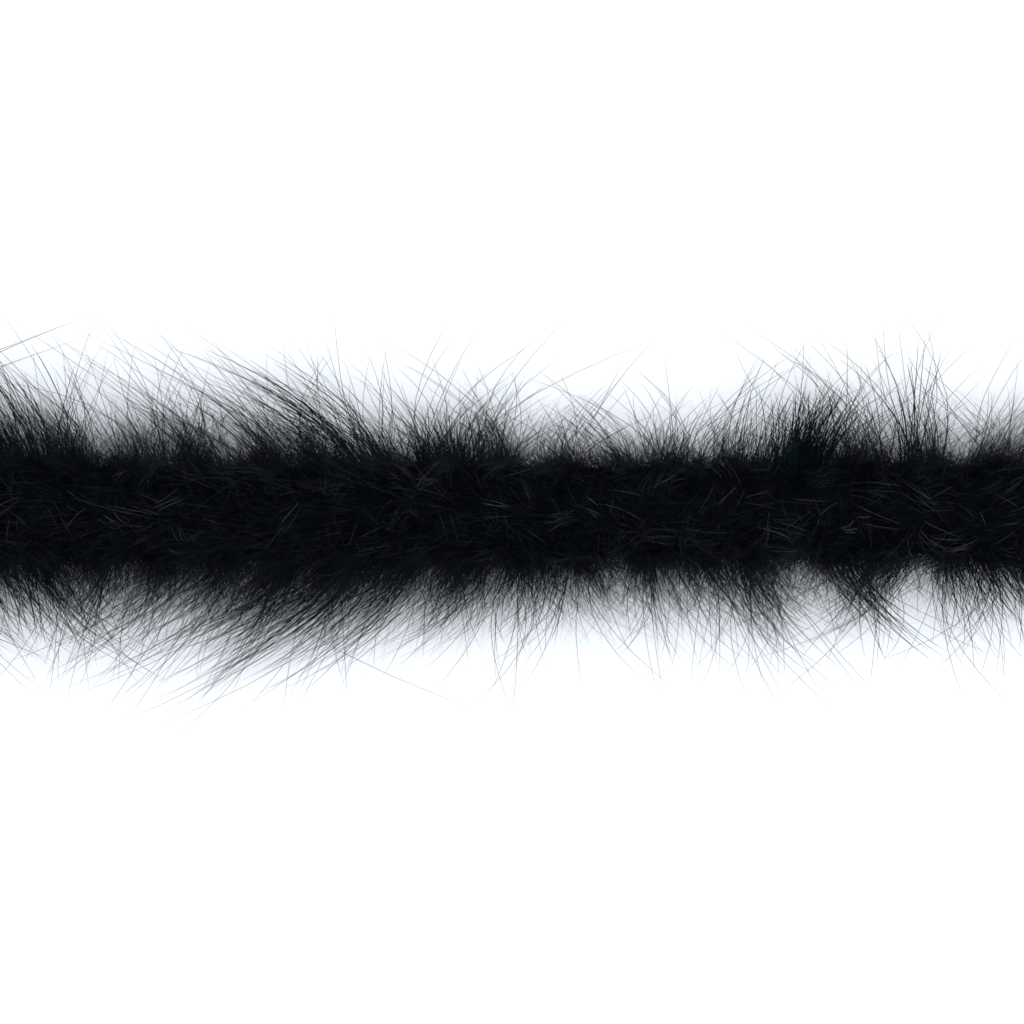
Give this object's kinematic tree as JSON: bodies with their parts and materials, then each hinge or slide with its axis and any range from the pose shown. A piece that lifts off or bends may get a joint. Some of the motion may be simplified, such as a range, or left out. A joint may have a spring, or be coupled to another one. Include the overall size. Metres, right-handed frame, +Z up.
{
  "type": "feather boa",
  "caption": "Marabou feather boa: black turkey down bound round a twisted cotton cord, laid flat in parallel runs like a letter S, with a knotted cord tail at each end.",
  "frame": {"origin": "on the table under the middle of the boa's length, which is also the middle of its footprint", "axes": "+X along the middle run, +Y towards the right arm's outer run, +Z up from the table"},
  "size_m": [0.6184, 0.5, 0.07],
  "materials": {
    "down": "dyed black turkey down, soft and matt with a faint cool sheen on the barbs",
    "core_cord": "twisted three-strand cotton cord, dyed black, matt",
    "binding_thread": "waxed black cotton thread, close wound over the quill butts"
  },
  "bodies": {
    "middle_run": {"core_cord_middle": "core_cord", "binding_middle": "binding_thread", "down_bundle_middle_1": "down", "down_bundle_middle_2": "down", "down_bundle_middle_3": "down", "down_bundle_middle_4": "down", "down_bundle_middle_5": "down", "down_bundle_middle_6": "down"},
    "right_turn_1": {"core_cord_right_turn_1": "core_cord", "binding_right_turn_1": "binding_thread", "down_bundle_right_turn_1": "down"},
    "right_turn_2": {"core_cord_right_turn_2": "core_cord", "binding_right_turn_2": "binding_thread", "down_bundle_right_turn_2": "down"},
    "right_turn_3": {"core_cord_right_turn_3": "core_cord", "binding_right_turn_3": "binding_thread", "down_bundle_right_turn_3": "down"},
    "right_turn_4": {"core_cord_right_turn_4": "core_cord", "binding_right_turn_4": "binding_thread", "down_bundle_right_turn_4": "down"},
    "right_turn_5": {"core_cord_right_turn_5": "core_cord", "binding_right_turn_5": "binding_thread", "down_bundle_right_turn_5": "down"},
    "right_run": {"core_cord_right_run": "core_cord", "binding_right_run": "binding_thread", "down_bundle_right_run_1": "down", "down_bundle_right_run_2": "down", "down_bundle_right_run_3": "down", "down_bundle_right_run_4": "down", "down_bundle_right_run_5": "down", "down_bundle_right_run_6": "down", "end_whipping_right": "binding_thread", "tail_cord_right": "core_cord", "tail_knot_right": "core_cord"},
    "left_turn_1": {"core_cord_left_turn_1": "core_cord", "binding_left_turn_1": "binding_thread", "down_bundle_left_turn_1": "down"},
    "left_turn_2": {"core_cord_left_turn_2": "core_cord", "binding_left_turn_2": "binding_thread", "down_bundle_left_turn_2": "down"},
    "left_turn_3": {"core_cord_left_turn_3": "core_cord", "binding_left_turn_3": "binding_thread", "down_bundle_left_turn_3": "down"},
    "left_turn_4": {"core_cord_left_turn_4": "core_cord", "binding_left_turn_4": "binding_thread", "down_bundle_left_turn_4": "down"},
    "left_turn_5": {"core_cord_left_turn_5": "core_cord", "binding_left_turn_5": "binding_thread", "down_bundle_left_turn_5": "down"},
    "left_run": {"core_cord_left_run": "core_cord", "binding_left_run": "binding_thread", "down_bundle_left_run_1": "down", "down_bundle_left_run_2": "down", "down_bundle_left_run_3": "down", "down_bundle_left_run_4": "down", "down_bundle_left_run_5": "down", "down_bundle_left_run_6": "down", "end_whipping_left": "binding_thread", "tail_cord_left": "core_cord", "tail_knot_left": "core_cord"}
  },
  "joints": [
    {"name": "right_bend_1", "type": "hinge", "parent": "middle_run", "child": "right_turn_1", "pos_m": [0.19, 0, 0.03], "axis": [0, 0, 1], "range_deg": [-60, 0]},
    {"name": "right_bend_2", "type": "hinge", "parent": "right_turn_1", "child": "right_turn_2", "pos_m": [0.23873, 0.02814, 0.03], "axis": [0, 0, 1], "range_deg": [-60, 0]},
    {"name": "right_bend_3", "type": "hinge", "parent": "right_turn_2", "child": "right_turn_3", "pos_m": [0.26687, 0.07687, 0.03], "axis": [0, 0, 1], "range_deg": [-60, 0]},
    {"name": "right_bend_4", "type": "hinge", "parent": "right_turn_3", "child": "right_turn_4", "pos_m": [0.26687, 0.13314, 0.03], "axis": [0, 0, 1], "range_deg": [-60, 0]},
    {"name": "right_bend_5", "type": "hinge", "parent": "right_turn_4", "child": "right_turn_5", "pos_m": [0.23873, 0.18186, 0.03], "axis": [0, 0, 1], "range_deg": [-60, 0]},
    {"name": "right_bend_6", "type": "hinge", "parent": "right_turn_5", "child": "right_run", "pos_m": [0.19, 0.21, 0.03], "axis": [0, 0, 1], "range_deg": [-60, 0]},
    {"name": "left_bend_1", "type": "hinge", "parent": "middle_run", "child": "left_turn_1", "pos_m": [-0.19, 0, 0.03], "axis": [0, 0, 1], "range_deg": [-60, 0]},
    {"name": "left_bend_2", "type": "hinge", "parent": "left_turn_1", "child": "left_turn_2", "pos_m": [-0.23873, -0.02814, 0.03], "axis": [0, 0, 1], "range_deg": [-60, 0]},
    {"name": "left_bend_3", "type": "hinge", "parent": "left_turn_2", "child": "left_turn_3", "pos_m": [-0.26687, -0.07687, 0.03], "axis": [0, 0, 1], "range_deg": [-60, 0]},
    {"name": "left_bend_4", "type": "hinge", "parent": "left_turn_3", "child": "left_turn_4", "pos_m": [-0.26687, -0.13314, 0.03], "axis": [0, 0, 1], "range_deg": [-60, 0]},
    {"name": "left_bend_5", "type": "hinge", "parent": "left_turn_4", "child": "left_turn_5", "pos_m": [-0.23873, -0.18186, 0.03], "axis": [0, 0, 1], "range_deg": [-60, 0]},
    {"name": "left_bend_6", "type": "hinge", "parent": "left_turn_5", "child": "left_run", "pos_m": [-0.19, -0.21, 0.03], "axis": [0, 0, 1], "range_deg": [-60, 0]}
  ]
}
